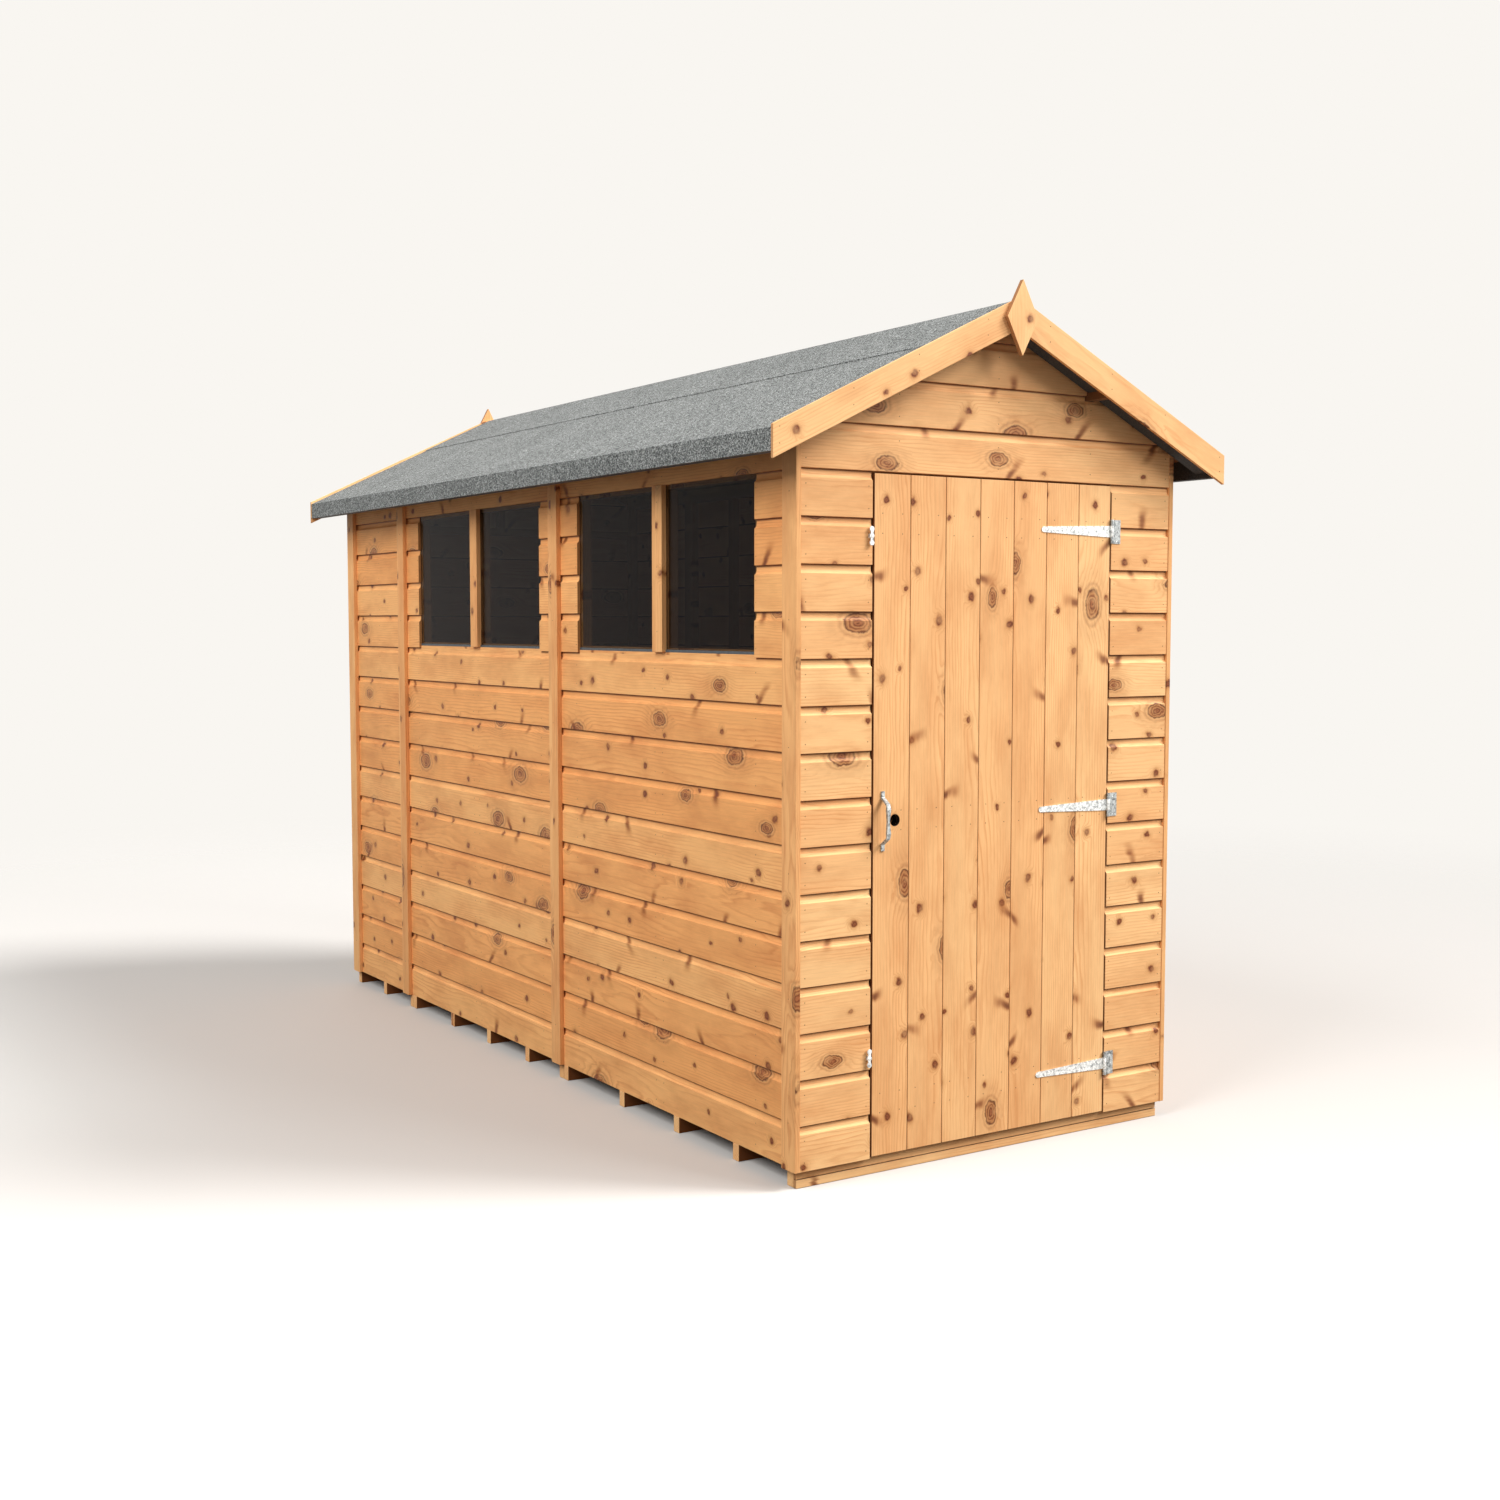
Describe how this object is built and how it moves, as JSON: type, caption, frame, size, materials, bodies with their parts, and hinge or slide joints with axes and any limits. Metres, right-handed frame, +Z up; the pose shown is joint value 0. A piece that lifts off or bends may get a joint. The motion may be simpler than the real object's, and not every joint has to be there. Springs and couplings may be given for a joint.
{
  "type": "wooden garden shed",
  "caption": "Apex-roofed wooden garden shed with board walls, a hinged door in the front gable, fixed side windows, felt roof and a bearer floor.",
  "frame": {"origin": "on the ground under the middle of the shed's bounding box", "axes": "+Z up, +Y from the door gable to the back gable, +X to the right when facing the door"},
  "size_m": [1.446, 3.156, 2.1894],
  "materials": {
    "cladding": "dip-treated softwood boards",
    "frame_timber": "dip-treated sawn softwood",
    "floor_timber": "dip-treated softwood",
    "trim_timber": "planed dip-treated softwood",
    "roof_timber": "dip-treated softwood boards",
    "door_timber": "dip-treated softwood boards",
    "roofing_felt": "grey mineral-surfaced bitumen felt",
    "galvanised_steel": "galvanised pressed steel",
    "window_glazing": "clear styrene sheet"
  },
  "bodies": {
    "shed": {"floor_bearers": "floor_timber", "base_facing": "floor_timber", "floor_front": "floor_timber", "floor_middle": "floor_timber", "floor_rear": "floor_timber", "front_boards_left": "cladding", "front_boards_right": "cladding", "front_boards_gable": "cladding", "front_frame_left": "frame_timber", "front_frame_right": "frame_timber", "front_frame_gable": "frame_timber", "back_boards": "cladding", "back_frame": "frame_timber", "left_boards_front": "cladding", "left_boards_middle": "cladding", "left_boards_rear": "cladding", "left_frame_front": "frame_timber", "left_frame_middle": "frame_timber", "left_frame_rear": "frame_timber", "right_boards_front": "cladding", "right_boards_middle": "cladding", "right_boards_rear": "cladding", "right_frame": "frame_timber", "window_panes": "window_glazing", "window_mullions": "trim_timber", "corner_strips": "trim_timber", "joint_strips": "trim_timber", "roof_boards_left": "roof_timber", "roof_boards_right": "roof_timber", "roof_purlins": "frame_timber", "felt_left": "roofing_felt", "felt_right": "roofing_felt", "felt_ridge": "roofing_felt", "bargeboards_front": "trim_timber", "bargeboards_back": "trim_timber", "finials": "trim_timber", "hinge_plates": "galvanised_steel", "button_screws": "galvanised_steel"},
    "door": {"door_boards": "door_timber", "door_ledges": "door_timber", "hinge_straps": "galvanised_steel", "door_handle": "galvanised_steel"},
    "top_button": {"turn_button_top": "galvanised_steel"},
    "bottom_button": {"turn_button_bottom": "galvanised_steel"}
  },
  "joints": [
    {"name": "door_hinge", "type": "hinge", "parent": "shed", "child": "door", "pos_m": [0.3855, -1.495, 0.873], "axis": [0, 0, 1], "range_deg": [0, 170]},
    {"name": "top_button_turn", "type": "hinge", "parent": "shed", "child": "top_button", "pos_m": [-0.395, -1.496, 1.56], "axis": [0, 1, 0], "continuous": true},
    {"name": "bottom_button_turn", "type": "hinge", "parent": "shed", "child": "bottom_button", "pos_m": [-0.395, -1.496, 0.295], "axis": [0, 1, 0], "continuous": true}
  ]
}
